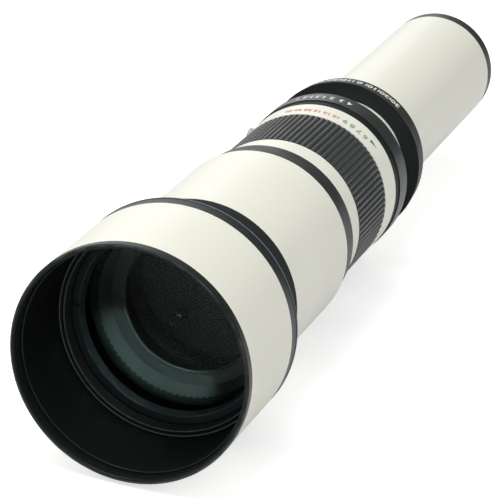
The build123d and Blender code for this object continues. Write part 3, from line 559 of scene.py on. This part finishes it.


# Index ring. A turned black ring with a rounded shoulder closes the sliding barrel's rear end,
# and three set screws hold it on the core tube. Its front band, next to the focus ring, is
# matte and painted a deeper black, a painted shade where a groove would lie in shadow, and
# white numbers stand on the rest.
ring_low, ring_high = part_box("index_ring")
ring_radius, shoulder_drop, step_place = ring_high.x, 0.0004, -0.2054
matte_shaded_band, band_gloss = (ring_low.y - 0.0001, step_place - 0.0001), 0.35
dress(black_metal("index_black", (0.018, 0.023, 0.022, 1), (0.28, 0.40), 0.00003,
                  [(ring_radius, step_place), (ring_radius - shoulder_drop, ring_high.y)],
                  (*matte_shaded_band, band_gloss)), "index_ring")
dress(steel, "index_screws")
index_number, index_place = 0.0048, -0.2000
index_marks = [(flat_letters(text, index_number), angle, 0) for text, angle in (
    ("1", 114), ("1.2", 106), ("1.5", 97), ("2", 89), ("3", 82), ("4", 76))]
printed("index_numbers", index_marks, index_place, ring_radius, 0, "zoom_carriage",
        white_paint)


# Focus ring. Its sleeve has two ivory lands, with the grip between them: a black rubber band
# moulded in one piece, with round ribs, and with small rungs across the grooves.
def ribbed_band(low, high, seat, crown, groove, ribs, per_rib, rungs, per_rung):
    """A band round the axis. Its outer radius is the crown less the groove's depth times one
    minus a power of the rib's sine. Rungs bridge the grooves: where a cosine along the axis
    is low, a groove has only a part of its depth. The first and last half millimetre falls by
    a square, and the edge rows close the band down to its seat."""
    bridged, edge_width, edge_drop = 0.6, 0.0005, 0.0003
    turn = np.arange(ribs * per_rib) / per_rib
    rib = np.abs(np.sin(np.pi * turn))[None, :] ** 1.1
    step = np.arange(rungs * per_rung + 1)[:, None]
    place = low + (high - low) * step / (rungs * per_rung)
    rung = np.clip(0.2 - np.cos(2 * np.pi * step / per_rung), 0, 1) * bridged
    edge = np.minimum((place - low), (high - place)) / edge_width
    edge = edge_drop * np.clip(1 - edge, 0, 1) ** 2
    outer = crown - groove * (1 - rib) * (1 - rung) - edge
    inner = np.full((1, outer.shape[1]), seat)
    radius = np.concatenate([inner, outer, inner])
    place = np.concatenate([place[:1], place, place[-1:]])
    angle = turn[None, :] * 2 * np.pi / ribs
    return np.stack([radius * np.cos(angle), place + 0 * radius, radius * np.sin(angle)], axis=-1)


rubber, tree, shader = new_material("grip_rubber")
bloom = noise(tree, 55, 4.0)
shade = blend(tree, bloom, (0.012, 0.017, 0.016, 1), (0.022, 0.029, 0.027, 1))
fill(tree, shader, ("Base Color", shade), ("Roughness", ramp(tree, bloom, 0.3, 0.7, 0.36, 0.5)),
     ("Normal", raised(tree, noise(tree, 2600, 2.0), 0.4, 0.00003)),
     ("Sheen Weight", 0.12), ("Sheen Roughness", 0.5))

grip_low, grip_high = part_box("focus_grip")
grip_seat, groove_depth = 0.03913, 0.00095
grip_rows = ribbed_band(grip_low.y, grip_high.y, grip_seat, grip_high.x + 0.00005, groove_depth,
                        ribs=90, per_rib=8, rungs=17, per_rung=6)
grip = closed_skin("ribbed_grip", grip_rows, "focus_ring", rubber)
grip.data.set_sharp_from_angle(angle=1.2)
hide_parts("focus_grip")

sleeve_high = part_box("focus_sleeve")[1]
land_taper = 0.0005
land_place = (grip_high.y + sleeve_high.y) / 2
land_radius = sleeve_high.x - land_taper / 2
land_slope = land_taper / (sleeve_high.y - grip_high.y)
near_number, far_number, number_drop = 0.0052, 0.0040, 0.0010
near_marks = [(flat_letters(text, near_number), angle, number_drop) for text, angle in (
    ("9", 69), ("8", 63.2), ("7", 57.4), ("6", 51.6))]
far_marks = [(flat_letters(text, far_number), angle, number_drop) for text, angle in (
    ("10", 76), ("12", 83), ("15", 90), ("20", 97), ("30", 104), ("50", 111))]
pointer_width, pointer_length, pointer_angle, pointer_rise = 0.0024, 0.0046, 44, 0.0008
arrow_points, arrow_faces = flat_bar(pointer_width, pointer_length, 1.0)
arrow_points = arrow_points[:, [1, 0, 2]] * (-1, 1, 1)
pointer = [((arrow_points, arrow_faces), pointer_angle, -pointer_rise)]
green_paint = paint("green_print", (0.035, 0.20, 0.15, 1), 0.5)
grey_paint = paint("grey_green_print", (0.32, 0.41, 0.36, 1), 0.5)
red_paint = paint("red_print", (0.70, 0.27, 0.21, 1), 0.5)
printed("near_numbers", near_marks, land_place, land_radius, land_slope, "focus_ring",
        grey_paint)
printed("far_numbers", far_marks, land_place, land_radius, land_slope, "focus_ring",
        red_paint)
printed("focus_pointer", pointer, land_place, land_radius, land_slope, "focus_ring",
        green_paint)


# Waist ring. A black anodised ring closes the front barrel behind and tapers towards the focus
# ring. Its shoulder and its rear edge are painted paler, partly as rubbed wear and partly as a
# painted highlight.
waist_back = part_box("waist_ring")[1].y
shoulder_radius, shoulder_place, tail_radius = 0.0434, -0.2977, 0.0423
dress(black_metal("waist_black", (0.012, 0.015, 0.015, 1), (0.34, 0.46), 0.00003,
                  [(shoulder_radius, shoulder_place), (tail_radius, waist_back)]), "waist_ring")


# Front cell. The black cell is cut with the filter thread inside its mouth, and a blue-black
# retaining ring with two notches holds the coated front glasses in it. The rear glasses are
# coated too; the focus glass is drawn as a dark solid, a painted shade for the dark inside.
def bead(name, radius, place, thick, body, material):
    """A round bead about the axis: a circle of points about one radius and place, turned."""
    round_it = np.linspace(0, 2 * np.pi, 12, endpoint=False)
    circle = np.stack([radius + thick / 2 * np.cos(round_it),
                       place + thick / 2 * np.sin(round_it)], axis=1)
    return closed_skin(name, lathe(circle, 256), body, material)


def coated_glass(name, colour, tint, clear):
    """Glass with a dark coating. Its colour tints what shines through, its tint is the share
    of plain glass's reflection that the coating leaves, and clear is 1 for clear glass and 0
    for glass drawn as a dark solid. Faint dust roughens it. Lamps shine straight through."""
    made, tree, shader = new_material(name)
    dusty = ramp(tree, noise(tree, 700, 3.0), 0.62, 0.8, 0.0, 0.06)
    fill(tree, shader, ("Roughness", dusty), ("Base Color", colour),
         ("Transmission Weight", clear), ("IOR", 1.5), ("Specular Tint", tint))
    open_way = add_node(tree, "BsdfTransparent", ("Color", colour))
    to_lamp = add_node(tree, "LightPath").outputs["Is Shadow Ray"]
    both = add_node(tree, "MixShader", (0, to_lamp), (1, shader.outputs[0]),
                    (2, open_way.outputs[0]))
    fill(tree, tree.nodes["Material Output"], ("Surface", both.outputs[0]))
    return made


cell_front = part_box("front_cell")[0].y
dress(black_metal("cell_black", (0.006, 0.008, 0.008, 1), (0.6, 0.75), 0.00002), "front_cell")
retainer_edge = 0.0432, -0.4048
dress(black_metal("retainer_black", (0.016, 0.028, 0.030, 1), (0.34, 0.46), 0.00002,
                  [retainer_edge]), "front_retaining_ring")
# The cell's lips and the hood's ridge bead are painted a pale blue-grey, a painted highlight
# added to the real one that their roundness catches.
highlight_bead_black = black_metal("bead_painted_highlight", (0.11, 0.135, 0.155, 1), (0.22, 0.30), 0.00001)
for name, radius, thick in (("cell_outer_lip", 0.0499, 0.0006),
                            ("cell_inner_lip", 0.0478, 0.0005)):
    lip = bead(name, radius, cell_front, thick, "zoom_carriage", highlight_bead_black)

filter_radius, filter_pitch, filter_depth, covered = 0.0475, 0.00075, 0.00045, 0.0002
first_row, last_row, thread_end = cell_front + 0.0004, cell_front + 0.0059, cell_front + 0.0063
outline = np.concatenate([
    wall_rows(filter_radius, first_row, last_row, 56),
    [[filter_radius + covered, last_row, 0], [filter_radius + covered, first_row, 0]]])
thread = threaded(outline, cell_front, thread_end, filter_pitch, filter_depth, 192)
thread_black = black_metal("filter_thread_black", (0.010, 0.012, 0.013, 1), (0.5, 0.6), 0.00001)
filter_thread = closed_skin("filter_thread", thread, "zoom_carriage", thread_black)

no_reflection = 0.0, 0.0, 0.0, 1
dress(coated_glass("coated_front_glass", (0.86, 0.93, 0.90, 1), no_reflection, 1.0),
      "front_element", "second_element")
dress(coated_glass("coated_rear_glass", (0.88, 0.90, 0.88, 1), (0.020, 0.018, 0.016, 1), 1.0),
      "rear_element_front", "rear_element_back")
# The focus glass is an opaque dark solid: a painted shade for the dark inside of the lens.
dress(coated_glass("focus_glass_painted_shade", (0.040, 0.049, 0.048, 1), no_reflection, 0.0),
      "focus_element")


# Light stop. A black cup behind the front glasses, with a rolled lip round its opening, keeps
# stray light out of the core tube.
stop_black = mottled("light_stop_black", 40, 3.0, (0.032, 0.033, 0.0375, 1),
                     (0.043, 0.044, 0.050, 1), 0.36)[0]
cup_rim, cup_knee = np.array([0.0419, -0.3866]), np.array([0.0361, -0.3760])
wall = -0.0002, 0.0004
lip_radius, lip_place, lip_round = 0.0303, -0.3760, 0.0006
lip_turn = np.linspace(0, np.pi, 10)
cup = np.concatenate([
    [cup_rim, cup_knee],
    np.stack([lip_radius + lip_round * np.cos(lip_turn),
              lip_place - lip_round * np.sin(lip_turn)], axis=1),
    [[lip_radius - lip_round, lip_place + wall[1]], cup_knee + wall, cup_rim + wall]])
light_stop = closed_skin("front_light_stop", lathe(cup, 256), "zoom_carriage", stop_black)


# Hood. The rim is black, the tube ivory, and the rear band black with a ridge where it turns
# down to the barrel. The cone behind the ridge is matte. Black flock lines the inside.
rim_front, rim_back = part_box("hood_rim")
band_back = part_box("hood_band")[1].y
front_rounding, ridge_radius, ridge_place, ridge_thick = 0.0006, 0.0532, -0.3944, 0.0008
cone, cone_gloss = (ridge_place + 0.0001, band_back + 0.001), 0.15
dress(black_metal("hood_rim_black", (0.013, 0.016, 0.016, 1), (0.30, 0.42), 0.00002,
                  [(rim_back.x, rim_back.y), (rim_back.x - front_rounding, rim_front.y)]),
      "hood_rim")
# The cone behind the ridge is left matte and a touch deeper black, a painted shade.
dress(black_metal("hood_band_black", (0.012, 0.015, 0.014, 1), (0.36, 0.5), 0.00003,
                  [(ridge_radius, ridge_place)], (*cone, cone_gloss)), "hood_band")
# The ridge bead's pale colour is a painted highlight.
ridge = bead("hood_ridge_bead", ridge_radius - 0.00006, ridge_place, ridge_thick, "hood",
             highlight_bead_black)

flock, tree, shader = mottled("lining_flock", 70, 3.0, (0.004, 0.005, 0.005, 1),
                              (0.008, 0.010, 0.010, 1), 0.75)
fill(tree, shader, ("Normal", raised(tree, noise(tree, 3200, 3.0), 0.6, 0.00005)),
     ("Specular IOR Level", 0.25))
dress(flock, "hood_lining")
lip_black = black_metal("lip_black", (0.030, 0.040, 0.044, 1), (0.16, 0.24), 0.00001)
welt_radius, lining_front, welt_thick = 0.0506, -0.4484, 0.0005
welt = bead("lining_front_welt", welt_radius, lining_front, welt_thick, "hood", lip_black)


bpy.context.view_layer.update()
